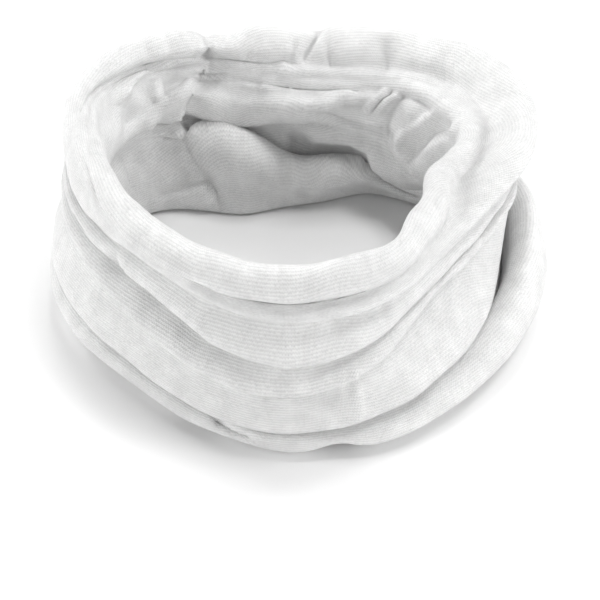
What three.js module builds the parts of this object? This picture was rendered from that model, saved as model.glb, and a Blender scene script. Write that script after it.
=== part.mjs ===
// A neck warmer: one seamless tube of jersey, pushed down into a ring that lies on a surface.
// Seen from the front, its outer side hangs in four overlapping folds over a fuller band at the floor,
// its top edge is a soft roll, and its inner side drops in two loose drapes to the floor.
// Millimetres, +Z up, the front is -Y, and the origin is on the floor in the middle of the ring.
import * as THREE from 'three';

// Driving sizes
const halfWidth = 85;
const ringHeight = 66;
const clothThickness = 1.2;
const hemTurn = 5;
const hemRound = 2;
const footRise = 0.8;
const edgesAround = 66;

// How a fold hangs over the band below it, and how round and how flat the cloth lies
const foldDepth = 4.6;
const lipRound = 0.8;
const lipUnder = 1.5;
const creaseRise = 1.1;
const creaseDrop = 1.5;
const bandStart = 2.4;
const bandBulge = 0.7;
const pressedFlat = 0.1;
const rollFullness = 0.4;

// The cloth's lines run round the ring, from the outer floor edge up over the top and down the inside.
// Each has a reach (a share of halfWidth) and a height (a share of ringHeight) in eight directions:
//   front, front right, right, back right, back, back left, left, front left
// The lip of a hanging fold also has a tuck: how deep its crease goes in behind it (a share of foldDepth).
const lines = {
  foot:       { reach:  [0.90, 0.88, 0.95, 1.05, 0.91, 1.05, 0.96, 0.81],
                height: [0.02, 0.02, 0.02, 0.02, 0.02, 0.02, 0.02, 0.02] },
  cuff:       { reach:  [0.94, 0.93, 1.00, 1.08, 0.93, 1.07, 1.00, 0.86],
                height: [0.07, 0.12, 0.26, 0.25, 0.17, 0.21, 0.17, 0.09] },
  cuffCrest:  { reach:  [0.93, 0.90, 0.93, 1.05, 0.92, 1.06, 0.98, 0.85],
                height: [0.11, 0.19, 0.49, 0.38, 0.25, 0.30, 0.24, 0.14] },
  cuffEdge:   { reach:  [0.89, 0.83, 0.86, 0.98, 0.87, 1.00, 0.92, 0.81],
                height: [0.13, 0.22, 0.40, 0.40, 0.29, 0.34, 0.28, 0.17] },
  pocket:     { reach:  [0.88, 0.80, 0.83, 0.94, 0.85, 0.98, 0.90, 0.80],
                height: [0.19, 0.27, 0.19, 0.42, 0.35, 0.40, 0.34, 0.23] },
  lipLow:     { reach:  [0.94, 0.86, 0.80, 1.00, 0.95, 1.06, 0.98, 0.86],
                height: [0.17, 0.27, 0.41, 0.45, 0.33, 0.38, 0.32, 0.21] },
  lipMiddle:  { reach:  [0.93, 0.73, 0.85, 1.02, 0.95, 1.07, 0.92, 0.85],
                height: [0.38, 0.58, 0.70, 0.62, 0.50, 0.56, 0.63, 0.50],
                tuck:   [1.00, 0.80, 0.60, 1.40, 1.40, 1.10, 0.90, 1.00] },
  lipHigh:    { reach:  [0.91, 0.73, 0.82, 1.02, 0.95, 1.07, 0.90, 0.79],
                height: [0.54, 0.66, 0.76, 0.72, 0.64, 0.68, 0.71, 0.64],
                tuck:   [1.00, 0.60, 0.50, 1.30, 1.20, 1.00, 0.50, 0.90] },
  lipTop:     { reach:  [0.88, 0.72, 0.85, 1.03, 0.95, 1.07, 0.88, 0.77],
                height: [0.76, 0.77, 0.83, 0.81, 0.79, 0.80, 0.77, 0.78],
                tuck:   [0.90, 0.30, 0.20, 0.80, 0.90, 0.70, 0.60, 0.70] },
  backRoll:   { reach:  [0.88, 0.73, 0.90, 1.11, 0.97, 1.11, 0.88, 0.78],
                height: [0.79, 0.81, 0.92, 0.91, 0.90, 0.90, 0.89, 0.81] },
  backCrest:  { reach:  [0.87, 0.72, 0.86, 1.03, 0.90, 1.05, 0.86, 0.78],
                height: [0.80, 0.83, 0.98, 0.99, 1.00, 0.99, 0.96, 0.83] },
  backSlope:  { reach:  [0.85, 0.71, 0.77, 0.94, 0.81, 0.98, 0.84, 0.78],
                height: [0.81, 0.84, 0.96, 0.91, 0.91, 0.92, 0.99, 0.85] },
  valley:     { reach:  [0.83, 0.69, 0.72, 0.91, 0.82, 1.01, 0.82, 0.77],
                height: [0.82, 0.86, 0.91, 0.84, 0.83, 0.87, 1.00, 0.87] },
  frontRoll:  { reach:  [0.87, 0.70, 0.69, 0.87, 0.79, 1.00, 0.80, 0.82],
                height: [0.88, 0.91, 0.94, 0.83, 0.81, 0.85, 1.00, 0.91] },
  frontCrest: { reach:  [0.82, 0.66, 0.65, 0.82, 0.78, 1.00, 0.77, 0.76],
                height: [0.99, 1.00, 0.98, 0.81, 0.76, 0.83, 0.98, 1.00] },
  frontSlope: { reach:  [0.77, 0.60, 0.61, 0.79, 0.77, 0.99, 0.74, 0.71],
                height: [0.94, 0.94, 0.94, 0.77, 0.71, 0.80, 0.92, 0.96] },
  underRoll:  { reach:  [0.78, 0.60, 0.60, 0.78, 0.75, 0.98, 0.74, 0.72],
                height: [0.84, 0.86, 0.87, 0.74, 0.70, 0.77, 0.84, 0.86] },
  drape:      { reach:  [0.75, 0.58, 0.60, 0.77, 0.71, 0.96, 0.73, 0.69],
                height: [0.68, 0.68, 0.70, 0.59, 0.65, 0.69, 0.64, 0.68] },
  drapeEdge:  { reach:  [0.76, 0.60, 0.63, 0.74, 0.78, 0.93, 0.75, 0.70],
                height: [0.55, 0.54, 0.52, 0.38, 0.51, 0.56, 0.52, 0.54] },
  wall:       { reach:  [0.81, 0.66, 0.71, 0.86, 0.80, 0.98, 0.80, 0.74],
                height: [0.48, 0.47, 0.46, 0.33, 0.38, 0.51, 0.48, 0.47] },
  gully:      { reach:  [0.81, 0.67, 0.72, 0.88, 0.78, 0.98, 0.80, 0.74],
                height: [0.40, 0.40, 0.39, 0.27, 0.15, 0.46, 0.41, 0.40] },
  sill:       { reach:  [0.80, 0.65, 0.71, 0.86, 0.73, 0.97, 0.79, 0.72],
                height: [0.32, 0.32, 0.32, 0.25, 0.24, 0.44, 0.34, 0.32] },
  step:       { reach:  [0.74, 0.62, 0.67, 0.85, 0.66, 0.93, 0.75, 0.67],
                height: [0.25, 0.25, 0.27, 0.17, 0.18, 0.36, 0.29, 0.26] },
  heel:       { reach:  [0.72, 0.62, 0.68, 0.88, 0.70, 0.93, 0.75, 0.64],
                height: [0.02, 0.02, 0.02, 0.02, 0.02, 0.02, 0.02, 0.02] },
};

// Gathers, dents and swells: where each is on its line (degrees from the right, counted to the back),
// how far it spreads, and how far it moves the cloth out (a share of halfWidth) and up (of ringHeight).
const swells = [
  { line: 'foot',       at: -68,  spread: 14, out: 0.02,   up: 0.00 },
  { line: 'cuff',       at: -68,  spread: 14, out: 0.02,   up: 0.00 },
  { line: 'foot',       at: -81,  spread: 5,  out: -0.025, up: 0.07 },
  { line: 'cuff',       at: -81,  spread: 5,  out: -0.01,  up: 0.025 },
  { line: 'foot',       at: -115, spread: 6,  out: -0.03,  up: 0.04 },
  { line: 'lipMiddle',  at: -72,  spread: 12, out: 0.02,   up: 0.025 },
  { line: 'lipTop',     at: -60,  spread: 14, out: 0.025,  up: 0.00 },
  { line: 'valley',     at: -62,  spread: 14, out: 0.025,  up: 0.00 },
  { line: 'frontRoll',  at: -62,  spread: 12, out: 0.025,  up: 0.00 },
  { line: 'frontCrest', at: -64,  spread: 10, out: 0.035,  up: 0.00 },
  { line: 'frontSlope', at: -64,  spread: 10, out: 0.055,  up: 0.00 },
  { line: 'lipTop',     at: -20,  spread: 15, out: -0.025, up: 0.00 },
  { line: 'backRoll',   at: -20,  spread: 15, out: -0.025, up: 0.00 },
  { line: 'backCrest',  at: -20,  spread: 15, out: -0.035, up: 0.00 },
  { line: 'backSlope',  at: -20,  spread: 15, out: -0.045, up: 0.00 },
  { line: 'valley',     at: -20,  spread: 15, out: -0.06,  up: 0.00 },
  { line: 'frontRoll',  at: -20,  spread: 15, out: -0.06,  up: 0.00 },
  { line: 'frontCrest', at: -20,  spread: 15, out: -0.065, up: 0.00 },
  { line: 'frontSlope', at: -20,  spread: 15, out: -0.065, up: 0.00 },
  { line: 'underRoll',  at: -20,  spread: 15, out: -0.055, up: 0.00 },
  { line: 'drape',      at: -20,  spread: 15, out: -0.03,  up: 0.00 },
  { line: 'backCrest',  at: 109,  spread: 5,  out: -0.01,  up: -0.045 },
  { line: 'backRoll',   at: 109,  spread: 5,  out: -0.03,  up: -0.01 },
  { line: 'backCrest',  at: 86,   spread: 5,  out: -0.01,  up: -0.03 },
  { line: 'backSlope',  at: 86,   spread: 5,  out: 0.025,  up: 0.00 },
  { line: 'backCrest',  at: 55,   spread: 6,  out: 0.00,   up: -0.025 },
  { line: 'backSlope',  at: 64,   spread: 5,  out: 0.02,   up: 0.00 },
  { line: 'heel',       at: 115,  spread: 17, out: -0.155, up: 0.00 },
  { line: 'step',       at: 115,  spread: 17, out: -0.095, up: 0.00 },
  { line: 'sill',       at: 112,  spread: 9,  out: -0.05,  up: 0.1 },
  { line: 'gully',      at: 76,   spread: 9,  out: 0.03,   up: -0.05 },
  { line: 'step',       at: 108,  spread: 8,  out: 0.01,   up: 0.07 },
  { line: 'wall',       at: 58,   spread: 15, out: -0.06,  up: 0.00 },
  { line: 'gully',      at: 121,  spread: 12, out: -0.05,  up: 0.03 },
  { line: 'wall',       at: 50,   spread: 13, out: -0.02,  up: -0.1 },
  { line: 'gully',      at: 50,   spread: 13, out: 0.01,   up: -0.13 },
  { line: 'sill',       at: 50,   spread: 13, out: 0.00,   up: -0.13 },
  { line: 'step',       at: 50,   spread: 13, out: 0.00,   up: -0.09 },
  { line: 'step',       at: 131,  spread: 9,  out: 0.04,   up: -0.2 },
  { line: 'heel',       at: 68,   spread: 9,  out: 0.05,   up: 0.00 },
  { line: 'step',       at: 68,   spread: 9,  out: 0.03,   up: 0.00 },
  { line: 'drapeEdge',  at: 108,  spread: 11, out: 0.00,   up: -0.09 },
  { line: 'drapeEdge',  at: 68,   spread: 12, out: 0.00,   up: 0.045 },
  { line: 'valley',     at: 118,  spread: 12, out: 0.04,   up: 0.00 },
  { line: 'frontRoll',  at: 118,  spread: 12, out: 0.03,   up: 0.00 },
  { line: 'drape',      at: 120,  spread: 8,  out: -0.045, up: 0.00 },
  { line: 'drape',      at: 152,  spread: 6,  out: -0.035, up: 0.00 },
  { line: 'drape',      at: 75,   spread: 9,  out: 0.025,  up: 0.00 },
  { line: 'drape',      at: 107,  spread: 10, out: 0.05,   up: -0.04 },
  { line: 'drape',      at: 40,   spread: 8,  out: -0.035, up: 0.00 },
];

const floorLevel = clothThickness / 2;
const columns = 8;
const firstColumn = -90;
const columnStep = 360 / columns;

function smoothPeriodic(values, angle) {
  // a Catmull-Rom curve through the eight directions, closed on itself
  const place = THREE.MathUtils.euclideanModulo((angle - firstColumn) / columnStep, columns);
  const index = Math.floor(place);
  const t = place - index;
  const [a, b, c, d] = [-1, 0, 1, 2].map((step) => values[(index + step + columns) % columns]);
  return b + 0.5 * t * (c - a + t * (2 * a - 5 * b + 4 * c - d + t * (3 * (b - c) + d - a)));
}

function swellAt(name, angle) {
  const moved = { out: 0, up: 0 };
  for (const swell of swells.filter((row) => row.line === name)) {
    const away = THREE.MathUtils.euclideanModulo(angle - swell.at + 180, 360) - 180;
    const share = Math.exp(-((away / swell.spread) ** 2));
    moved.out += swell.out * halfWidth * share;
    moved.up += swell.up * ringHeight * share;
  }
  return moved;
}

function linePoint(name, angle) {
  const moved = swellAt(name, angle);
  const reach = smoothPeriodic(lines[name].reach, angle) * halfWidth + moved.out;
  const height = smoothPeriodic(lines[name].height, angle) * ringHeight + moved.up;
  return new THREE.Vector2(reach, Math.max(height, floorLevel));
}

function shifted(point, out, up) {
  return new THREE.Vector2(point.x + out, point.y + up);
}

function hangingFold(name, angle) {
  // from the crease below the lip, round the lip, to the band above it
  const lip = linePoint(name, angle);
  const depth = smoothPeriodic(lines[name].tuck, angle);
  const crease = -foldDepth * depth;
  const rise = creaseRise * depth - creaseDrop * (1 - depth);
  return [
    shifted(lip, crease + bandBulge, -bandStart),
    shifted(lip, crease, rise),
    shifted(lip, -lipUnder * depth, -lipRound),
    shifted(lip, 0, lipRound),
  ];
}

function bandBetween(lower, upper) {
  // the middle of a band of cloth between two folds, swelling a little
  return shifted(lower.clone().lerp(upper, 0.5), bandBulge, 0);
}

function roundedBetween(side, crest) {
  // a point that keeps the top of a roll round, between its side and its crest
  const corner = new THREE.Vector2(side.x, crest.y);
  return side.clone().lerp(crest, 0.5).lerp(corner, rollFullness);
}

function clothProfile(angle) {
  // the middle of the cloth, from the outer hem turned in under the ring to the inner hem
  const at = (name) => linePoint(name, angle);
  const foot = at('foot');
  const heel = at('heel');
  const outerHem = Math.max(foot.y - footRise, floorLevel);
  const low = at('lipLow');
  const middle = hangingFold('lipMiddle', angle);
  const high = hangingFold('lipHigh', angle);
  const top = hangingFold('lipTop', angle);
  const frontRoll = at('frontRoll');
  const frontCrest = at('frontCrest');
  const frontSlope = at('frontSlope');
  return [
    new THREE.Vector2(foot.x - hemTurn, outerHem),
    new THREE.Vector2(foot.x - hemRound, outerHem),
    foot,
    foot.clone().lerp(at('cuff'), 0.5),
    at('cuff'),
    at('cuffCrest'),
    at('cuffEdge'),
    at('pocket'),
    shifted(low, -lipUnder, -lipRound),
    shifted(low, 0, lipRound),
    bandBetween(low, middle[0]),
    ...middle,
    bandBetween(middle[3], high[0]),
    ...high,
    bandBetween(high[3], top[0]),
    ...top,
    at('backRoll'),
    at('backCrest'),
    at('backSlope'),
    at('valley'),
    frontRoll,
    roundedBetween(frontRoll, frontCrest),
    frontCrest,
    roundedBetween(frontSlope, frontCrest),
    frontSlope,
    at('underRoll'),
    at('drape'),
    at('drapeEdge'),
    at('wall'),
    at('gully'),
    at('sill'),
    at('step'),
    at('step').clone().lerp(heel, 0.5),
    heel,
    new THREE.Vector2(heel.x + hemRound, floorLevel),
    new THREE.Vector2(heel.x + hemTurn, floorLevel),
  ];
}

function skins(profile) {
  // the two faces of the cloth, half a thickness to each side of its middle
  const half = clothThickness / 2;
  const outer = [];
  const inner = [];
  profile.forEach((point, index) => {
    const before = point.clone().sub(profile[Math.max(index - 1, 0)]).normalize();
    const after = profile[Math.min(index + 1, profile.length - 1)].clone().sub(point).normalize();
    const along = before.clone().add(after).normalize();
    const side = new THREE.Vector2(along.y, -along.x);
    outer.push(point.clone().addScaledVector(side, half));
    inner.push(point.clone().addScaledVector(side, -half));
  });
  const loop = [...outer, ...inner.reverse()];
  // cloth this near the floor lies flat on it
  loop.filter((point) => point.y < pressedFlat).forEach((point) => point.setY(0));
  return loop;
}

function ringGeometry() {
  // every section is the same closed loop of points, joined to the next one round the ring
  const positions = [];
  const triangles = [];
  let loopLength = 0;
  for (let step = 0; step < edgesAround; step += 1) {
    const angle = 360 * step / edgesAround;
    const radians = THREE.MathUtils.degToRad(angle);
    const loop = skins(clothProfile(angle));
    loopLength = loop.length;
    for (const point of loop) {
      positions.push(point.x * Math.cos(radians), point.x * Math.sin(radians), point.y);
    }
  }
  for (let step = 0; step < edgesAround; step += 1) {
    const here = step * loopLength;
    const next = ((step + 1) % edgesAround) * loopLength;
    for (let index = 0; index < loopLength; index += 1) {
      const following = (index + 1) % loopLength;
      triangles.push(here + index, next + index, next + following);
      triangles.push(here + index, next + following, here + following);
    }
  }
  const geometry = new THREE.BufferGeometry();
  geometry.setAttribute('position', new THREE.Float32BufferAttribute(positions, 3));
  geometry.setIndex(triangles);
  geometry.computeBoundingBox();
  const middle = geometry.boundingBox.getCenter(new THREE.Vector3());
  geometry.translate(-middle.x, -middle.y, 0);
  geometry.computeVertexNormals();
  return geometry;
}

const jersey = new THREE.MeshStandardMaterial({ color: 0xf2f2f0, roughness: 0.95, metalness: 0 });
const neckTube = new THREE.Mesh(ringGeometry(), jersey);
neckTube.name = 'neck_tube';

const neckWarmer = new THREE.Group();
neckWarmer.add(neckTube);

export default neckWarmer;
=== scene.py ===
# %% [markdown]
# # A jersey neck warmer, pushed down into a ring
# The real thing is one seamless tube of fine white jersey, about 50 cm around. Pushed down, it stands
# as a low ring: the outside hangs in overlapping folds, the top edge rolls over softly, and the inside
# drops to the floor in two loose drapes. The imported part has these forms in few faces. This lesson
# makes the same cloth finely, gives it its small creases, gathers and knit, and lights it.

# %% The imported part
import math

import bpy
import numpy as np
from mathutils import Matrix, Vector


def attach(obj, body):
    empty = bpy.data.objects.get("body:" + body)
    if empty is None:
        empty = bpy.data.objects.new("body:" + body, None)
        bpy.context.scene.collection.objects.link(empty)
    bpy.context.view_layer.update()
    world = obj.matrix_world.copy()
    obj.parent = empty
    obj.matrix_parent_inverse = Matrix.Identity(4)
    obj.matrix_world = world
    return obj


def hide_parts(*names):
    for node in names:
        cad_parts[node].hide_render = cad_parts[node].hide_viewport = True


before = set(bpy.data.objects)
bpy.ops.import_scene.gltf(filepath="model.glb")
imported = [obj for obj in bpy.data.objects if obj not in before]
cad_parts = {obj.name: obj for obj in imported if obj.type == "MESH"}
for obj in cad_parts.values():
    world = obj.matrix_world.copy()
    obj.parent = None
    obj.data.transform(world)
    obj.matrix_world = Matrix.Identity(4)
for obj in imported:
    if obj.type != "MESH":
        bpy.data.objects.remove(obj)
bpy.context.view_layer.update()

MM = 0.001

# %% [markdown]
# ## The camera
# The camera comes first, so that every later choice can be judged in the picture. It looks down at the
# ring from the front at 38 degrees. A long lens from half a metre keeps the back of the ring almost as
# large as its front. It is aimed at the floor near the middle of the ring, with no shift.

# %% The camera
CAMERA_RISE = math.radians(38)
CAMERA_DISTANCE = 520 * MM
CAMERA_AIM = Vector((1.0 * MM, -1.4 * MM, 0))
# Blender takes the sensor and the lens in millimetres.
SENSOR_WIDTH = 36
LENS_LENGTH = 88.9
camera_data = bpy.data.cameras.new("front_view")
camera_data.sensor_width = SENSOR_WIDTH
camera_data.lens = LENS_LENGTH
camera = bpy.data.objects.new("front_view", camera_data)
towards_camera = Vector((0, -math.cos(CAMERA_RISE), math.sin(CAMERA_RISE)))
camera.location = CAMERA_AIM + CAMERA_DISTANCE * towards_camera
camera.rotation_euler = (math.pi / 2 - CAMERA_RISE, 0, 0)
bpy.context.scene.collection.objects.link(camera)
bpy.context.scene.camera = camera
print("camera", [round(v, 3) for v in camera.location])

# %% [markdown]
# ## The lines of the cloth
# Cloth that is pushed down keeps a few clear lines: each fold's lip, the crests of the rolls, the
# edges of the drapes. Each line runs once round the ring. A line is written as its reach from the
# middle and its height in eight directions, as shares of the ring's half width and height, and a
# smooth closed curve joins the eight. That is less to write than a mesh, and easy to correct. A cloth
# simulation would make folds of its own, and these have to be the folds in the picture.

# %% Sizes of the cloth
HALF_WIDTH = 85 * MM
RING_HEIGHT = 66 * MM
CLOTH = 1.2 * MM
HEM_TURN = 5 * MM
HEM_ROUND = 2 * MM
FOOT_RISE = 0.8 * MM
FOLD_DEPTH = 4.6 * MM
LIP_ROUND = 0.8 * MM
LIP_UNDER = 1.5 * MM
CREASE_RISE = 1.1 * MM
CREASE_DROP = 1.5 * MM
BAND_START = 2.4 * MM
BAND_BULGE = 0.7 * MM
ROLL_FULLNESS = 0.4
FLOOR_LEVEL = CLOTH / 2
DIRECTIONS = 8
print("the cloth is", round(CLOTH / MM, 1), "mm thick")

# %% The lines, in the order front, front right, right, back right, back, back left, left, front left
LINES = {
    "foot": {"reach": [0.90, 0.88, 0.95, 1.05, 0.91, 1.05, 0.96, 0.81],
        "height": [0.02, 0.02, 0.02, 0.02, 0.02, 0.02, 0.02, 0.02]},
    "cuff": {"reach": [0.94, 0.93, 1.00, 1.08, 0.93, 1.07, 1.00, 0.86],
        "height": [0.07, 0.12, 0.26, 0.25, 0.17, 0.21, 0.17, 0.09]},
    "cuff_crest": {"reach": [0.93, 0.90, 0.93, 1.05, 0.92, 1.06, 0.98, 0.85],
        "height": [0.11, 0.19, 0.49, 0.38, 0.25, 0.30, 0.24, 0.14]},
    "cuff_edge": {"reach": [0.89, 0.83, 0.86, 0.98, 0.87, 1.00, 0.92, 0.81],
        "height": [0.13, 0.22, 0.40, 0.40, 0.29, 0.34, 0.28, 0.17]},
    "pocket": {"reach": [0.88, 0.80, 0.83, 0.94, 0.85, 0.98, 0.90, 0.80],
        "height": [0.19, 0.27, 0.19, 0.42, 0.35, 0.40, 0.34, 0.23]},
    "lip_low": {"reach": [0.94, 0.86, 0.80, 1.00, 0.95, 1.06, 0.98, 0.86],
        "height": [0.17, 0.27, 0.41, 0.45, 0.33, 0.38, 0.32, 0.21]},
    "lip_middle": {"reach": [0.93, 0.73, 0.85, 1.02, 0.95, 1.07, 0.92, 0.85],
        "height": [0.38, 0.58, 0.70, 0.62, 0.50, 0.56, 0.63, 0.50],
        "tuck": [1.00, 0.80, 0.60, 1.40, 1.40, 1.10, 0.90, 1.00]},
    "lip_high": {"reach": [0.91, 0.73, 0.82, 1.02, 0.95, 1.07, 0.90, 0.79],
        "height": [0.54, 0.66, 0.76, 0.72, 0.64, 0.68, 0.71, 0.64],
        "tuck": [1.00, 0.60, 0.50, 1.30, 1.20, 1.00, 0.50, 0.90]},
    "lip_top": {"reach": [0.88, 0.72, 0.85, 1.03, 0.95, 1.07, 0.88, 0.77],
        "height": [0.76, 0.77, 0.83, 0.81, 0.79, 0.80, 0.77, 0.78],
        "tuck": [0.90, 0.30, 0.20, 0.80, 0.90, 0.70, 0.60, 0.70]},
    "back_roll": {"reach": [0.88, 0.73, 0.90, 1.11, 0.97, 1.11, 0.88, 0.78],
        "height": [0.79, 0.81, 0.92, 0.91, 0.90, 0.90, 0.89, 0.81]},
    "back_crest": {"reach": [0.87, 0.72, 0.86, 1.03, 0.90, 1.05, 0.86, 0.78],
        "height": [0.80, 0.83, 0.98, 0.99, 1.00, 0.99, 0.96, 0.83]},
    "back_slope": {"reach": [0.85, 0.71, 0.77, 0.94, 0.81, 0.98, 0.84, 0.78],
        "height": [0.81, 0.84, 0.96, 0.91, 0.91, 0.92, 0.99, 0.85]},
    "valley": {"reach": [0.83, 0.69, 0.72, 0.91, 0.82, 1.01, 0.82, 0.77],
        "height": [0.82, 0.86, 0.91, 0.84, 0.83, 0.87, 1.00, 0.87]},
    "front_roll": {"reach": [0.87, 0.70, 0.69, 0.87, 0.79, 1.00, 0.80, 0.82],
        "height": [0.88, 0.91, 0.94, 0.83, 0.81, 0.85, 1.00, 0.91]},
    "front_crest": {"reach": [0.82, 0.66, 0.65, 0.82, 0.78, 1.00, 0.77, 0.76],
        "height": [0.99, 1.00, 0.98, 0.81, 0.76, 0.83, 0.98, 1.00]},
    "front_slope": {"reach": [0.77, 0.60, 0.61, 0.79, 0.77, 0.99, 0.74, 0.71],
        "height": [0.94, 0.94, 0.94, 0.77, 0.71, 0.80, 0.92, 0.96]},
    "under_roll": {"reach": [0.78, 0.60, 0.60, 0.78, 0.75, 0.98, 0.74, 0.72],
        "height": [0.84, 0.86, 0.87, 0.74, 0.70, 0.77, 0.84, 0.86]},
    "drape": {"reach": [0.75, 0.58, 0.60, 0.77, 0.71, 0.96, 0.73, 0.69],
        "height": [0.68, 0.68, 0.70, 0.59, 0.65, 0.69, 0.64, 0.68]},
    "drape_edge": {"reach": [0.76, 0.60, 0.63, 0.74, 0.78, 0.93, 0.75, 0.70],
        "height": [0.55, 0.54, 0.52, 0.38, 0.51, 0.56, 0.52, 0.54]},
    "wall": {"reach": [0.81, 0.66, 0.71, 0.86, 0.80, 0.98, 0.80, 0.74],
        "height": [0.48, 0.47, 0.46, 0.33, 0.38, 0.51, 0.48, 0.47]},
    "gully": {"reach": [0.81, 0.67, 0.72, 0.88, 0.78, 0.98, 0.80, 0.74],
        "height": [0.40, 0.40, 0.39, 0.27, 0.15, 0.46, 0.41, 0.40]},
    "sill": {"reach": [0.80, 0.65, 0.71, 0.86, 0.73, 0.97, 0.79, 0.72],
        "height": [0.32, 0.32, 0.32, 0.25, 0.24, 0.44, 0.34, 0.32]},
    "step": {"reach": [0.74, 0.62, 0.67, 0.85, 0.66, 0.93, 0.75, 0.67],
        "height": [0.25, 0.25, 0.27, 0.17, 0.18, 0.36, 0.29, 0.26]},
    "heel": {"reach": [0.72, 0.62, 0.68, 0.88, 0.70, 0.93, 0.75, 0.64],
        "height": [0.02, 0.02, 0.02, 0.02, 0.02, 0.02, 0.02, 0.02]},
}
print(len(LINES), "lines")

# %% Gathers, dents and swells: line, where (degrees), spread (degrees), out and up (shares)
SWELLS = [
    ("foot", -68, 14, 0.02, 0),
    ("cuff", -68, 14, 0.02, 0),
    ("foot", -81, 5, -0.025, 0.07),
    ("cuff", -81, 5, -0.01, 0.025),
    ("foot", -115, 6, -0.03, 0.04),
    ("lip_middle", -72, 12, 0.02, 0.025),
    ("lip_top", -60, 14, 0.025, 0),
    ("valley", -62, 14, 0.025, 0),
    ("front_roll", -62, 12, 0.025, 0),
    ("front_crest", -64, 10, 0.035, 0),
    ("front_slope", -64, 10, 0.055, 0),
    ("lip_top", -20, 15, -0.025, 0),
    ("back_roll", -20, 15, -0.025, 0),
    ("back_crest", -20, 15, -0.035, 0),
    ("back_slope", -20, 15, -0.045, 0),
    ("valley", -20, 15, -0.06, 0),
    ("front_roll", -20, 15, -0.06, 0),
    ("front_crest", -20, 15, -0.065, 0),
    ("front_slope", -20, 15, -0.065, 0),
    ("under_roll", -20, 15, -0.055, 0),
    ("drape", -20, 15, -0.03, 0),
    ("back_crest", 109, 5, -0.01, -0.045),
    ("back_roll", 109, 5, -0.03, -0.01),
    ("back_crest", 86, 5, -0.01, -0.03),
    ("back_slope", 86, 5, 0.025, 0),
    ("back_crest", 55, 6, 0, -0.025),
    ("back_slope", 64, 5, 0.02, 0),
    ("heel", 115, 17, -0.155, 0),
    ("step", 115, 17, -0.095, 0),
    ("sill", 112, 9, -0.05, 0.1),
    ("gully", 76, 9, 0.03, -0.05),
    ("step", 108, 8, 0.01, 0.07),
    ("wall", 58, 15, -0.06, 0),
    ("gully", 121, 12, -0.05, 0.03),
    ("wall", 50, 13, -0.02, -0.1),
    ("gully", 50, 13, 0.01, -0.13),
    ("sill", 50, 13, 0, -0.13),
    ("step", 50, 13, 0, -0.09),
    ("step", 131, 9, 0.04, -0.2),
    ("heel", 68, 9, 0.05, 0),
    ("step", 68, 9, 0.03, 0),
    ("drape_edge", 108, 11, 0, -0.09),
    ("drape_edge", 68, 12, 0, 0.045),
    ("valley", 118, 12, 0.04, 0),
    ("front_roll", 118, 12, 0.03, 0),
    ("drape", 120, 8, -0.045, 0),
    ("drape", 152, 6, -0.035, 0),
    ("drape", 75, 9, 0.025, 0),
    ("drape", 107, 10, 0.05, -0.04),
    ("drape", 40, 8, -0.035, 0),
]
print(len(SWELLS), "swells")

# %% [markdown]
# ## One section of the cloth
# At any angle round the ring the lines give a section: from the outer hem, turned in under the ring,
# up over the folds, across the top and down the inside to the inner hem. Three of the folds hang over
# the band below them. Such a fold has a crease tucked in behind its lip, so it takes four points. The
# "tuck" of its line says how deep the crease goes in, as a share of the fold depth.

# %% The points of a line
FRONT = -90


def around(values, azimuth):
    """A smooth closed curve through the eight directions, the first of them at the front."""
    place = np.mod((azimuth - FRONT) / (360 / DIRECTIONS), DIRECTIONS)
    index = np.floor(place).astype(int)
    t = place - index
    a, b, c, d = [np.asarray(values)[(index + step) % DIRECTIONS] for step in (-1, 0, 1, 2)]
    return b + 0.5 * t * (c - a + t * (2 * a - 5 * b + 4 * c - d + t * (3 * (b - c) + d - a)))


def bump_at(azimuth, middle, spread):
    """One soft bump round the ring, 1 at its middle."""
    away = np.mod(azimuth - middle + 180, 360) - 180
    return np.exp(-((away / spread) ** 2))


def line_points(name, azimuth):
    """The reach and height of a named line, in metres."""
    reach = around(LINES[name]["reach"], azimuth)
    height = around(LINES[name]["height"], azimuth)
    for line, middle, spread, out, up in SWELLS:
        if line == name:
            share = bump_at(azimuth, middle, spread)
            reach = reach + out * share
            height = height + up * share
    return np.stack([reach * HALF_WIDTH, np.maximum(height * RING_HEIGHT, FLOOR_LEVEL)], -1)


crest_at_front = line_points("front_crest", np.array([FRONT]))[0]
print("the front crest's reach and height", np.round(crest_at_front / MM, 1), "mm")


# %% A hanging fold and a round roll
def shifted(points, out, up):
    """The points, moved out and up."""
    return np.stack([points[:, 0] + out, points[:, 1] + up], -1)


def hanging_fold(name, azimuth):
    """Four rows: the start of the tuck, its crease, the underside of the lip and the lip."""
    lip = line_points(name, azimuth)
    tuck = around(LINES[name]["tuck"], azimuth)
    crease = -FOLD_DEPTH * tuck
    rise = CREASE_RISE * tuck - CREASE_DROP * (1 - tuck)
    return [
        (name + "_start", shifted(lip, crease + BAND_BULGE, -BAND_START)),
        (name + "_crease", shifted(lip, crease, rise)),
        (name + "_under", shifted(lip, -LIP_UNDER * tuck, -LIP_ROUND)),
        (name, shifted(lip, 0, LIP_ROUND)),
    ]


def rounded_between(side, crest):
    """A point that keeps the top of a roll round."""
    corner = np.stack([side[:, 0], crest[:, 1]], -1)
    return (side + crest) / 2 * (1 - ROLL_FULLNESS) + corner * ROLL_FULLNESS


print("rows of a fold:", [name for name, points in hanging_fold("lip_top", np.array([FRONT]))])


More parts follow.
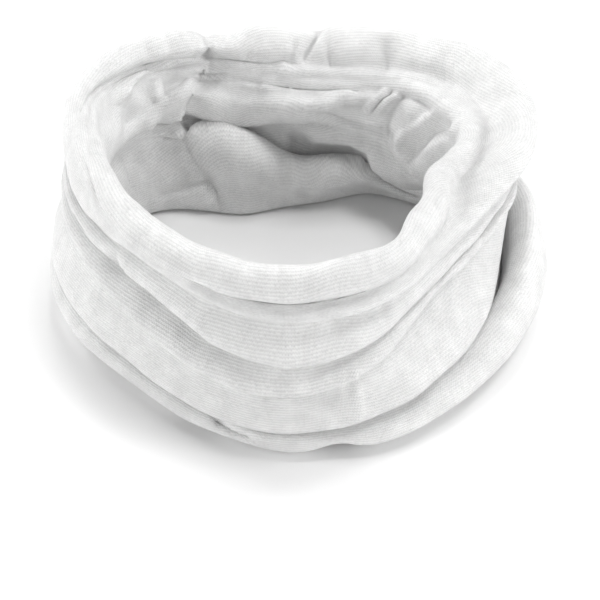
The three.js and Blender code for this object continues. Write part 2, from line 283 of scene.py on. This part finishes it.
# %% The whole section
def section_rows(azimuth):
    """The names of the rows of every section, and their points: angles, rows, (reach, height)."""
    at = {name: line_points(name, azimuth) for name in LINES}
    outer_hem = np.maximum(at["foot"][:, 1] - FOOT_RISE, FLOOR_LEVEL)
    inner_hem = np.full(len(azimuth), FLOOR_LEVEL)
    low, foot, heel = at["lip_low"], at["foot"], at["heel"]
    middle, high, top = [hanging_fold(name, azimuth) for name in ("lip_middle", "lip_high", "lip_top")]
    rows = [
        ("outer_hem", np.stack([foot[:, 0] - HEM_TURN, outer_hem], -1)),
        ("outer_hem_bend", np.stack([foot[:, 0] - HEM_ROUND, outer_hem], -1)),
        ("foot", foot),
        ("foot_side", (foot + at["cuff"]) / 2),
        *[(name, at[name]) for name in ("cuff", "cuff_crest", "cuff_edge", "pocket")],
        ("lip_low_under", shifted(low, -LIP_UNDER, -LIP_ROUND)),
        ("lip_low", shifted(low, 0, LIP_ROUND)),
        ("band_low", shifted((low + middle[0][1]) / 2, BAND_BULGE, 0)),
        *middle,
        ("band_middle", shifted((middle[3][1] + high[0][1]) / 2, BAND_BULGE, 0)),
        *high,
        ("band_high", shifted((high[3][1] + top[0][1]) / 2, BAND_BULGE, 0)),
        *top,
        *[(name, at[name]) for name in ("back_roll", "back_crest", "back_slope", "valley")],
        ("front_roll", at["front_roll"]),
        ("front_round", rounded_between(at["front_roll"], at["front_crest"])),
        ("front_crest", at["front_crest"]),
        ("front_round_in", rounded_between(at["front_slope"], at["front_crest"])),
        *[(name, at[name]) for name in ("front_slope", "under_roll", "drape", "drape_edge", "wall")],
        *[(name, at[name]) for name in ("gully", "sill", "step")],
        ("heel_side", (at["step"] + heel) / 2),
        ("heel", heel),
        ("inner_hem_bend", np.stack([heel[:, 0] + HEM_ROUND, inner_hem], -1)),
        ("inner_hem", np.stack([heel[:, 0] + HEM_TURN, inner_hem], -1)),
    ]
    return [name for name, points in rows], np.stack([points for name, points in rows], 1)


print("each section has", len(section_rows(np.array([FRONT]))[0]), "rows")

# %% [markdown]
# ## The cloth as a fine grid
# A soft curve through the rows of each section gives the grid: 480 sections round the ring, with about
# 160 samples in each. The curve is a Catmull-Rom whose pace follows the square root of the distance
# between rows, so that it doesn't overshoot where rows lie close together, as they do at a lip.

# %% The grid
THREADS_AROUND = 480
GRID_PITCH = 1.25 * MM
SHORTEST_STEP = 0.001 * MM


def soft_curve(points, steps):
    """Samples of a soft curve through the rows, and where each sample lies, counted in rows."""
    before = 2 * points[:, :1] - points[:, 1:2]
    after = 2 * points[:, -1:] - points[:, -2:-1]
    held = np.concatenate([before, points, after], 1)
    gaps = np.linalg.norm(np.diff(held, axis=1), axis=-1)
    pace = np.sqrt(np.maximum(gaps, SHORTEST_STEP))
    samples, places = [], []
    for row, count in enumerate(steps):
        p0, p1, p2, p3 = [held[:, row + step] for step in range(4)]
        d0, d1, d2 = [pace[:, row + step][:, None] for step in range(3)]
        leave = ((p1 - p0) / d0 - (p2 - p0) / (d0 + d1) + (p2 - p1) / d1) * d1
        arrive = ((p2 - p1) / d1 - (p3 - p1) / (d1 + d2) + (p3 - p2) / d2) * d1
        for t in np.arange(count) / count:
            start = (2 * t ** 3 - 3 * t ** 2 + 1) * p1 + (t ** 3 - 2 * t ** 2 + t) * leave
            end = (3 * t ** 2 - 2 * t ** 3) * p2 + (t ** 3 - t ** 2) * arrive
            samples.append(start + end)
            places.append(row + t)
    samples.append(points[:, -1])
    places.append(len(steps))
    return np.stack(samples, 1), np.array(places)


azimuths = np.arange(THREADS_AROUND) * 360 / THREADS_AROUND
row_names, sections = section_rows(azimuths)
row_gaps = np.linalg.norm(np.diff(sections, axis=1), axis=-1).mean(0)
row_steps = np.maximum(1, np.round(row_gaps / GRID_PITCH).astype(int))
# The skin inside the folds takes every second sample, so the number of steps has to be even.
if row_steps.sum() % 2:
    row_steps[row_gaps.argmax()] += 1
profile, places = soft_curve(sections, row_steps)
radians = np.radians(azimuths)[:, None]
reach, height = profile[..., 0], profile[..., 1]
grid = np.stack([reach * np.cos(radians), reach * np.sin(radians), height], -1)
box_middle = (grid.reshape(-1, 3).min(0) + grid.reshape(-1, 3).max(0)) / 2
grid[..., :2] -= box_middle[:2]
print("grid", grid.shape[:2], "box middle", np.round(box_middle[:2] / MM, 2), "mm")

# %% [markdown]
# ## Small creases, pleats and gathers
# A worn, pushed-down tube is full of small forms that the main lines are too few to carry: gathers that
# notch the roll, pleats inside, creases that run off at a slant. Each is one row of a table: the line it
# lies by, its path over the cloth, how soft it is to the left and to the right of that path, and how far
# it lifts (or, below zero, sinks) the cloth. A crease gets its sharp side from a small width. Sculpting
# by hand could make them too, but a table can be read and corrected. They move the grid along its own
# normals, so they stay real shape and not only bump.

# %% Cloth coordinates
CLOTH_AROUND = 500 * MM
DEGREE = CLOTH_AROUND / 360
arc = np.concatenate([[0], np.cumsum(np.linalg.norm(np.diff(profile, axis=1), axis=-1).mean(0))])
row_place = {name: arc[np.abs(places - row).argmin()] for row, name in enumerate(row_names)}
print("cloth length along the section", round(arc[-1] / MM, 1), "mm")

# %% The small forms: by which row, path (degrees, mm past the row), left width, right width, lift (mm)
FOLDS = [
    ("drape_edge", [(49, 0), (58, -3), (68, -2), (76, -2), (85, -5), (91, -2), (110, -2), (122, -1)],
        1.2, 7, 2.8),
    ("drape", [(117, 0), (110, 1), (101, 1), (92, -1), (82, -3), (74, -9)], 5, 5, 3),
    ("step", [(122, -4), (116, -3), (110, -1), (103, -3), (89, -4), (76, -4), (66, -6)], 7, 4, 3),
    ("gully", [(92, -4), (86, -4), (77, -4), (67, -6)], 2.5, 2.5, -3),
    ("drape", [(117, -15), (121, -1), (123, 5)], 9, 1.2, -4),
    ("drape", [(118, -15), (123, -6), (127, -1), (131, 1)], 1.2, 1.2, -1.3),
    ("drape", [(94, -26), (100, -13)], 5, 2, 1.2),
    ("drape", [(62, -15), (66, -4)], 1.5, 1.5, 1.4),
    ("drape", [(58, -14), (63, -4)], 1.5, 1.5, 1.4),
    ("drape", [(60, -15), (64, -4)], 1.5, 1.5, -1.2),
    ("drape", [(56, -14), (59, 2)], 3, 2, -1.6),
    ("drape", [(51, -6), (53, 4)], 4, 4, 1.8),
    ("drape", [(41, -12), (46, -4), (53, 4)], 2.5, 2.5, 1.8),
    ("drape", [(29, -10), (40, -4), (47, 6)], 2.5, 2.5, -2),
    ("drape", [(22, -12), (38, 1), (46, 9)], 2.5, 2.5, 1.6),
    ("drape", [(120, -9), (125, -1), (130, 4), (134, 9)], 2.5, 3.5, 3),
    ("drape", [(129, -11), (130, 0)], 2, 2, 1.5),
    ("drape", [(127, -11), (128, -1)], 1.5, 1.5, -1),
    ("drape", [(138, -11), (136, 1)], 4, 4, 1.6),
    ("drape", [(130, 2), (136, 4), (141, 4)], 2, 2, -1),
    ("drape", [(140, -11), (146, 1)], 3, 3, 1.4),
    ("sill", [(122, 0), (118, 0), (111, -3), (106, 0), (98, 1), (88, 1), (67, 0)], 1.5, 5, 2.2),
    ("sill", [(123, 0), (122, 6), (119, 17)], 1.5, 1.5, -1.8),
    ("step", [(136, 12), (134, 10), (129, 9), (124, 7), (122, 7), (121, 10)], 1.2, 5, 3.5),
    ("gully", [(68, 5), (64, 6), (58, 9), (52, 9), (50, 12)], 1.5, 1.5, -2.5),
    ("drape_edge", [(86, -10), (81, -9), (74, -5), (65, -5), (58, -6)], 1.2, 3, -2.5),
    ("front_slope", [(141, 4), (136, -1), (129, -7), (122, -10), (116, -12)], 4, 1.2, 2),
    ("wall", [(142, 12), (142, 20)], 2.5, 2.5, -1.2),
    ("sill", [(99, 5), (89, 5), (85, 16)], 2.5, 6, -1.2),
    ("sill", [(127, -18), (124, -4)], 3, 3, 1.4),
    ("sill", [(122, -17), (121, -3)], 2, 2, -1.4),
    ("wall", [(84, 0), (72, -3), (61, 2), (49, 10)], 4, 2, 2.5),
    ("drape_edge", [(49, 3), (58, 0), (68, 2), (76, 2), (85, -3)], 1.5, 1.5, -2.2),
    ("back_crest", [(113, 0), (115, 2), (114, 8)], 1.5, 3, -2.4),
    ("back_crest", [(84, 0), (86, 4), (88, 7)], 1.5, 2, -2),
    ("back_crest", [(101, 3), (104, 6)], 1.5, 1.5, -1),
    ("back_crest", [(91, 4), (92, 8)], 1.5, 1.5, -1.2),
    ("back_crest", [(81, 4), (80, 8)], 1.5, 2, -1.2),
    ("back_crest", [(66, 4), (64, 8)], 1.5, 3, -1.6),
    ("back_crest", [(50, 3), (47, 8)], 1.5, 3, -1.3),
    ("back_crest", [(129, 0), (130, 4)], 1.5, 3, -0.9),
    ("back_crest", [(124, 0), (124, 4)], 1.5, 3, -0.9),
    ("back_crest", [(118, 0), (118, 5)], 1.5, 2, -0.9),
    ("valley", [(112, -1), (106, -1), (94, 1)], 1.2, 1.2, 1.3),
    ("front_crest", [(74, -3), (60, -3), (50, 0), (40, 3), (23, 6)], 3, 3, 1.2),
    ("front_crest", [(69, 2), (58, 2), (50, 5), (41, 9), (27, 12)], 2, 2, -0.8),
    ("lip_high", [(-81, 6), (-74, 6), (-68, 5)], 3, 3, -1.6),
    ("lip_middle", [(-77, 2), (-76, -12), (-76, -22)], 1.2, 2, 0.7),
    ("lip_middle", [(-80, 3), (-80, -15)], 1.2, 1.2, 0.6),
    ("lip_high", [(268, 5), (268, 2)], 3, 4, 1.1),
    ("lip_high", [(213, 0), (216, -4)], 2.5, 2.5, -1.2),
    ("lip_high", [(227, -4), (237, -4)], 2.5, 2.5, -1.4),
    ("lip_high", [(240, -4), (246, -4)], 2.5, 2.5, -1.4),
    ("cuff", [(252, 7), (257, 4)], 3, 2, -3),
]
print(len(FOLDS), "small forms")


# %% The lift of the small forms
def fold_relief(forms):
    """The summed lift of all the small forms, in metres. The first width is to the left of the path."""
    u = (azimuths * DEGREE)[:, None]
    v = arc[None]
    relief = np.zeros((len(azimuths), len(arc)))
    for row, path, left, right, lift in forms:
        nearest = np.full(relief.shape, np.inf)
        signed = np.zeros(relief.shape)
        points = [np.array([angle * DEGREE, row_place[row] + past * MM]) for angle, past in path]
        for start, end in zip(points, points[1:]):
            run = end - start
            from_u = np.mod(u - start[0] + CLOTH_AROUND / 2, CLOTH_AROUND) - CLOTH_AROUND / 2
            from_v = v - start[1]
            share = np.clip((from_u * run[0] + from_v * run[1]) / (run @ run), 0, 1)
            off_u, off_v = from_u - share * run[0], from_v - share * run[1]
            distance = np.hypot(off_u, off_v)
            closer = distance < nearest
            nearest[closer] = distance[closer]
            signed[closer] = (run[0] * off_v - run[1] * off_u)[closer]
        width = np.where(signed > 0, left, right) * MM
        relief += lift * MM * np.exp(-((nearest / width) ** 2))
    return relief


relief = fold_relief(FOLDS)
print("small forms lift the cloth by up to", round(relief.max() / MM, 1), "mm")


# %% Soft waves in the cloth
def smooth_noise(seed, waves_around, waves_along, count):
    """A soft random relief that closes on itself round the ring, mostly between -1 and 1."""
    random = np.random.default_rng(seed)
    summed = np.zeros((len(azimuths), len(arc)))
    for _ in range(count):
        turns = random.integers(2, waves_around)
        rises = random.uniform(-waves_along, waves_along)
        phase = random.uniform(0, 2 * np.pi)
        summed += np.sin(turns * radians + 2 * np.pi * rises * arc[None] / arc[-1] + phase)
    return summed / np.sqrt(count)


WAVE_LIFT = 0.25 * MM
waves = smooth_noise(seed=3, waves_around=26, waves_along=9, count=40)
relief = relief + WAVE_LIFT * waves
print("soft waves lift it by up to", round(WAVE_LIFT * waves.max() / MM, 1), "mm")


# %% The relief on the grid
def grid_normals(points):
    """The normals of the grid, on the side that shows."""
    around_ring = np.roll(points, -1, 0) - np.roll(points, 1, 0)
    along = np.gradient(points, axis=1)
    normals = np.cross(around_ring, along)
    lengths = np.linalg.norm(normals, axis=-1, keepdims=True)
    return normals / np.maximum(lengths, SHORTEST_STEP ** 2)


HEM_FADE = 6 * MM
from_hems = np.minimum(arc - row_place["foot"], row_place["heel"] - arc)
hem_fade = np.clip(from_hems / HEM_FADE, 0, 1)
grid += grid_normals(grid) * (relief * hem_fade)[..., None]
print("all of it moves the cloth by up to", round(np.abs(relief * hem_fade).max() / MM, 1), "mm")

# %% [markdown]
# ## Two faces of one cloth
# Jersey has a thickness, so the grid becomes two skins, half a thickness to each side, joined at the
# two hems. The skin that shows has the full grid. The skin inside the folded ring is only seen from
# below, so half the grid each way is enough for it. A Solidify modifier could make it too, but with
# four times as many faces where they don't show.

# %% The two skins
def keep_above_floor(points):
    """Cloth that would sink into the floor lies flat on it instead."""
    points[..., 2] = np.maximum(points[..., 2], 0)
    return points


half_cloth = grid_normals(grid) * CLOTH / 2
shown = keep_above_floor(grid + half_cloth)
hidden = keep_above_floor((grid - half_cloth)[::2, ::2])
vertices = np.concatenate([shown.reshape(-1, 3), hidden.reshape(-1, 3)])
print("shown skin", shown.shape[:2], "hidden skin", hidden.shape[:2])


# %% The faces of the skins
def quads(first, around_count, row_count, flip):
    """The faces of a grid of vertices that closes on itself round the ring."""
    i, j = np.meshgrid(np.arange(around_count), np.arange(row_count - 1), indexing="ij")
    here = first + i * row_count + j
    there = first + (i + 1) % around_count * row_count + j
    corners = [here, there, there + 1, here + 1]
    if flip:
        corners = corners[::-1]
    return np.stack(corners, -1).reshape(-1, 4)


shown_around, shown_rows = shown.shape[:2]
hidden_around, hidden_rows = hidden.shape[:2]
first_hidden = shown_around * shown_rows
faces = quads(0, shown_around, shown_rows, False).tolist()
faces += quads(first_hidden, hidden_around, hidden_rows, True).tolist()
print(len(faces), "faces in the two skins")

# %% The hems
# At each hem a strip of five-sided faces joins the skins, three vertices of one to two of the other.
for thread in range(hidden_around):
    fine = [(2 * thread + step) % shown_around * shown_rows for step in range(3)]
    coarse = [first_hidden + (thread + step) % hidden_around * hidden_rows for step in range(2)]
    faces.append([fine[2], fine[1], fine[0], coarse[0], coarse[1]])
    fine = [vertex + shown_rows - 1 for vertex in fine]
    coarse = [vertex + hidden_rows - 1 for vertex in coarse]
    faces.append([fine[0], fine[1], fine[2], coarse[1], coarse[0]])
print(2 * hidden_around, "faces along the hems")

# %% The cloth's mesh
mesh = bpy.data.meshes.new("neck_cloth")
mesh.from_pydata(vertices.tolist(), [], faces)
mesh.shade_smooth()
neck_cloth = bpy.data.objects.new("neck_cloth", mesh)
bpy.context.scene.collection.objects.link(neck_cloth)
print(len(vertices), "vertices,", sum(len(face) - 2 for face in faces), "triangles")

# %% [markdown]
# ## A map for the knit
# The knit has to run with the cloth: its courses round the ring, its wales up and over it. A map in
# metres of flat cloth does this: across is the place round the tube, up is the length from the hem. A
# map projected from the side would smear the rows where the folds turn over.

# %% The flat place of each vertex
# The length from the hem is halfway between this section's own and the ring's mean, so that the
# courses stay nearly level where the cloth is gathered.
local_arc = np.zeros(profile.shape[:2])
local_arc[:, 1:] = np.cumsum(np.linalg.norm(np.diff(profile, axis=1), axis=-1), 1)
cloth_up = (local_arc + arc[None]) / 2
shown_threads = np.repeat(np.arange(shown_around), shown_rows)
hidden_threads = np.repeat(np.arange(hidden_around) * 2, hidden_rows)
threads = np.concatenate([shown_threads, hidden_threads])
ups = np.concatenate([cloth_up.ravel(), cloth_up[::2, ::2].ravel()])
print("vertices up to", round(float(ups.max()) / MM), "mm from the outer hem")

# %% The knit map
# The map belongs to the corners of faces. A face across the seam takes its low threads once round on.
corner_vertex = np.zeros(len(mesh.loops), int)
mesh.loops.foreach_get("vertex_index", corner_vertex)
starts = np.zeros(len(mesh.polygons), int)
mesh.polygons.foreach_get("loop_start", starts)
totals = np.zeros(len(mesh.polygons), int)
mesh.polygons.foreach_get("loop_total", totals)
corner_face = np.repeat(np.arange(len(totals)), totals)
corner_thread = threads[corner_vertex].astype(float)
highest = np.maximum.reduceat(corner_thread, starts)[corner_face]
past_seam = highest - corner_thread > THREADS_AROUND / 2
corner_thread[past_seam] += THREADS_AROUND
knit_map = mesh.uv_layers.new(name="knit")
flat_place = np.stack([corner_thread / THREADS_AROUND * CLOTH_AROUND, ups[corner_vertex]], -1)
knit_map.data.foreach_set("uv", flat_place.astype(np.float32).ravel())
print("knit map spans", np.round(np.ptp(flat_place, axis=0) / MM), "mm of cloth")

# %% [markdown]
# ## The knit
# Fine jersey shows as close, soft rows of loops. A real loop is under a millimetre, so in this picture
# a row is two or three pixels: enough to read, too small to model. A node group makes its height from
# the knit map: courses (the rows), wales (the columns of V-shaped loops) and the unevenness of the yarn.

# %% Node helpers
def new_group(name, inputs, outputs):
    """An empty shader node group with named sockets."""
    group = bpy.data.node_groups.new(name, "ShaderNodeTree")
    for socket, kind, value in inputs:
        made = group.interface.new_socket(name=socket, in_out="INPUT", socket_type=kind)
        if value is not None:
            made.default_value = value
    for socket, kind in outputs:
        group.interface.new_socket(name=socket, in_out="OUTPUT", socket_type=kind)
    return group


def math_node(tree, operation, *values):
    """A Math node with its inputs linked or set."""
    node = tree.nodes.new("ShaderNodeMath")
    node.operation = operation
    for socket, value in zip(node.inputs, values):
        if isinstance(value, (int, float)):
            socket.default_value = value
        else:
            tree.links.new(value, socket)
    return node.outputs[0]


def noise_node(tree, vector, scale, detail, roughness):
    """A noise texture's grey value."""
    node = tree.nodes.new("ShaderNodeTexNoise")
    tree.links.new(vector, node.inputs["Vector"])
    for name, value in (("Scale", scale), ("Detail", detail), ("Roughness", roughness)):
        node.inputs[name].default_value = value
    return node.outputs["Fac"]


# %% The knit group
FLOAT, VECTOR = "NodeSocketFloat", "NodeSocketVector"
knit = new_group(
    "jersey_knit",
    [("Cloth Place", VECTOR, None), ("Course", FLOAT, 1 * MM), ("Wale", FLOAT, 0.9 * MM),
     ("Unevenness", FLOAT, 0.4)],
    [("Height", FLOAT), ("Painted Loop Shade", FLOAT), ("Yarn Tone", FLOAT)])
start = knit.nodes.new("NodeGroupInput")
result = knit.nodes.new("NodeGroupOutput")
split = knit.nodes.new("ShaderNodeSeparateXYZ")
knit.links.new(start.outputs["Cloth Place"], split.inputs[0])
print("the knit group takes", [socket.name for socket in start.outputs if socket.name])

# %% Uneven yarn: close streaks, and blotches some millimetres wide (both scales are per metre)
YARN_SCALE = (900, 1300, 1)
BLOTCH_SCALE = 160
streaks = knit.nodes.new("ShaderNodeMapping")
streaks.inputs["Scale"].default_value = YARN_SCALE
knit.links.new(start.outputs["Cloth Place"], streaks.inputs["Vector"])
yarn = noise_node(knit, streaks.outputs[0], scale=1, detail=2, roughness=0.5)
blotches = noise_node(knit, start.outputs["Cloth Place"], BLOTCH_SCALE, detail=3, roughness=0.55)
tone = math_node(knit, "MULTIPLY_ADD", yarn, 0.5, math_node(knit, "MULTIPLY", blotches, 0.5))
knit.links.new(tone, result.inputs["Yarn Tone"])
print("blotches are about", round(1 / BLOTCH_SCALE / MM), "mm wide")

# %% Loops: courses that lean to and fro within each wale, and a ridge on either side of a wale's middle
FULL_TURN = 2 * math.pi
LOOP_LEAN = 0.9
EVEN_SHARE = 0.6
BLOTCH_SHARE = 0.8
wale_phase = math_node(knit, "DIVIDE", split.outputs["X"], start.outputs["Wale"])
wale_wave = math_node(knit, "PINGPONG", wale_phase, 0.5)
loop_lean = math_node(knit, "MULTIPLY", wale_wave, LOOP_LEAN)
course_phase = math_node(knit, "DIVIDE", split.outputs["Y"], start.outputs["Course"])
leaning = math_node(knit, "ADD", course_phase, loop_lean)
off_middle = math_node(knit, "SUBTRACT", yarn, 0.5)
wander = math_node(knit, "MULTIPLY", off_middle, start.outputs["Unevenness"])
wandering = math_node(knit, "ADD", leaning, wander)
course_wave = math_node(knit, "SINE", math_node(knit, "MULTIPLY", wandering, FULL_TURN))
course_height = math_node(knit, "MULTIPLY_ADD", course_wave, 0.5, 0.5)
wale_ridge = math_node(knit, "SINE", math_node(knit, "MULTIPLY", wale_wave, FULL_TURN))
wale_height = math_node(knit, "MULTIPLY", wale_ridge, 0.5)
loops = math_node(knit, "ADD", math_node(knit, "MULTIPLY", course_height, 0.5), wale_height)
strength = math_node(knit, "MULTIPLY_ADD", blotches, BLOTCH_SHARE, EVEN_SHARE)
knit.links.new(math_node(knit, "MULTIPLY", loops, strength), result.inputs["Height"])
# Painted shade: where the loops are low, between them, this mask greys the colour as shade would.
knit.links.new(math_node(knit, "SUBTRACT", 1, loops), result.inputs["Painted Loop Shade"])
print("knit group has", len(knit.nodes), "nodes")

# %% [markdown]
# ## The jersey
# White jersey reflects most of the light, with a soft fuzz that brightens its edges. Painted shade greys
# the colour between the loops, and the colour also turns greyer from yarn to yarn. Hair strands could
# make the fuzz, but each would be far thinner than a pixel, so the shader's own sheen stands for it.

# %% The jersey material
jersey = bpy.data.materials.new("white_jersey")
jersey.use_nodes = True
nodes, links = jersey.node_tree.nodes, jersey.node_tree.links
shader = nodes["Principled BSDF"]
shader.inputs["Roughness"].default_value = 0.95
shader.inputs["Sheen Weight"].default_value = 0.35
shader.inputs["Sheen Roughness"].default_value = 0.5
shader.inputs["Specular IOR Level"].default_value = 0.2
mesh.materials.append(jersey)
print("jersey roughness", round(shader.inputs["Roughness"].default_value, 2))

# %% The knit on the jersey
cloth_place = nodes.new("ShaderNodeUVMap")
cloth_place.uv_map = knit_map.name
knit_here = nodes.new("ShaderNodeGroup")
knit_here.node_tree = knit
links.new(cloth_place.outputs["UV"], knit_here.inputs["Cloth Place"])
knit_here.inputs["Course"].default_value = 0.85 * MM
knit_here.inputs["Wale"].default_value = 0.8 * MM
knit_here.inputs["Unevenness"].default_value = 0.9
bump = nodes.new("ShaderNodeBump")
bump.inputs["Strength"].default_value = 0.6
bump.inputs["Distance"].default_value = 0.35 * MM
links.new(knit_here.outputs["Height"], bump.inputs["Height"])
links.new(bump.outputs["Normal"], shader.inputs["Normal"])
print("a course is", round(knit_here.inputs["Course"].default_value / MM, 2), "mm high")

# %% The colour: white on the loops, with painted shade between them and greyer yarn here and there
LOOP_WHITE = (0.93, 0.93, 0.925, 1)
SHADE_AND_YARN_GREY = (0.50, 0.50, 0.50, 1)
WHITE_UP_TO = 0.25
GREY_FROM = 0.8
LOOP_SHADE_SHARE = 0.4
YARN_SHARE = 0.6
# The grey end is reached by painted shade between the loops and by the yarn's own uneven tone.
yarn_shade = math_node(jersey.node_tree, "MULTIPLY", knit_here.outputs["Yarn Tone"], YARN_SHARE)
painted_loop_shade = knit_here.outputs["Painted Loop Shade"]
shade = math_node(jersey.node_tree, "MULTIPLY_ADD", painted_loop_shade, LOOP_SHADE_SHARE, yarn_shade)
colours = nodes.new("ShaderNodeValToRGB")
white_end, grey_end = colours.color_ramp.elements
white_end.position = WHITE_UP_TO
white_end.color = LOOP_WHITE
grey_end.position = GREY_FROM
grey_end.color = SHADE_AND_YARN_GREY
links.new(shade, colours.inputs["Fac"])
links.new(colours.outputs["Color"], shader.inputs["Base Color"])
print("jersey has", len(nodes), "nodes")

# %% [markdown]
# ## Floor and light
# The picture is bright all round, on a white floor that burns out. Two lights overhead and three high at
# the back brighten the rolls and throw a soft shadow to the front. Low lights at the right, the left and
# the front fill the outer folds. The room itself is almost dark, so that the inside keeps its depth.

# %% The floor
FLOOR_SIZE = 6.0
FLOOR_WHITE = (0.88, 0.88, 0.88, 1)
side = FLOOR_SIZE / 2
floor_corners = [(-side, -side, 0), (side, -side, 0), (side, side, 0), (-side, side, 0)]
floor_mesh = bpy.data.meshes.new("floor")
floor_mesh.from_pydata(floor_corners, [], [(0, 1, 2, 3)])
floor = bpy.data.objects.new("floor", floor_mesh)
bpy.context.scene.collection.objects.link(floor)
paper = bpy.data.materials.new("white_floor")
paper.use_nodes = True
floor_shader = paper.node_tree.nodes["Principled BSDF"]
floor_shader.inputs["Base Color"].default_value = FLOOR_WHITE
floor_shader.inputs["Roughness"].default_value = 0.9
floor_mesh.materials.append(paper)
print("floor", FLOOR_SIZE, "m a side")


# %% The lights
def soft_light(name, place, size, power):
    """A square light that faces the middle of the ring. Its place and size are in metres."""
    data = bpy.data.lights.new(name, "AREA")
    data.size = size
    data.energy = power
    light = bpy.data.objects.new(name, data)
    light.location = place
    light.rotation_euler = (-Vector(place)).to_track_quat("-Z", "Y").to_euler()
    bpy.context.scene.collection.objects.link(light)


soft_light("right", place=(1.0, -0.45, 0.4), size=0.6, power=9)
soft_light("front", place=(-0.35, -1.05, 0.38), size=0.8, power=2.8)
soft_light("left", place=(-1.0, -0.2, 0.35), size=0.6, power=7)
soft_light("above", place=(0.4, 0.0, 1.15), size=0.3, power=4)
soft_light("top", place=(0.1, 0.3, 1.2), size=0.3, power=4)
soft_light("back", place=(0.1, 0.75, 1.0), size=0.6, power=3)
soft_light("back right", place=(0.8, 0.6, 0.8), size=0.3, power=2.5)
soft_light("back left", place=(-0.7, 0.7, 0.7), size=0.4, power=5.5)
total_power = sum(light.energy for light in bpy.data.lights)
print(len(bpy.data.lights), "lights of", round(total_power, 1), "W together")

# %% The room
world = bpy.data.worlds.new("white_room")
world.use_nodes = True
room = world.node_tree.nodes["Background"]
room.inputs["Color"].default_value = (1, 1, 1, 1)
room.inputs["Strength"].default_value = 0.02
bpy.context.scene.world = world
bpy.context.scene.view_settings.view_transform = "Standard"
print("room light", round(room.inputs["Strength"].default_value, 2))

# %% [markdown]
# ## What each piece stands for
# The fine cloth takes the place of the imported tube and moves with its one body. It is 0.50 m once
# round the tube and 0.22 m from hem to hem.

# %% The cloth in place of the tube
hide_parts("neck_tube")
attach(neck_cloth, "root")
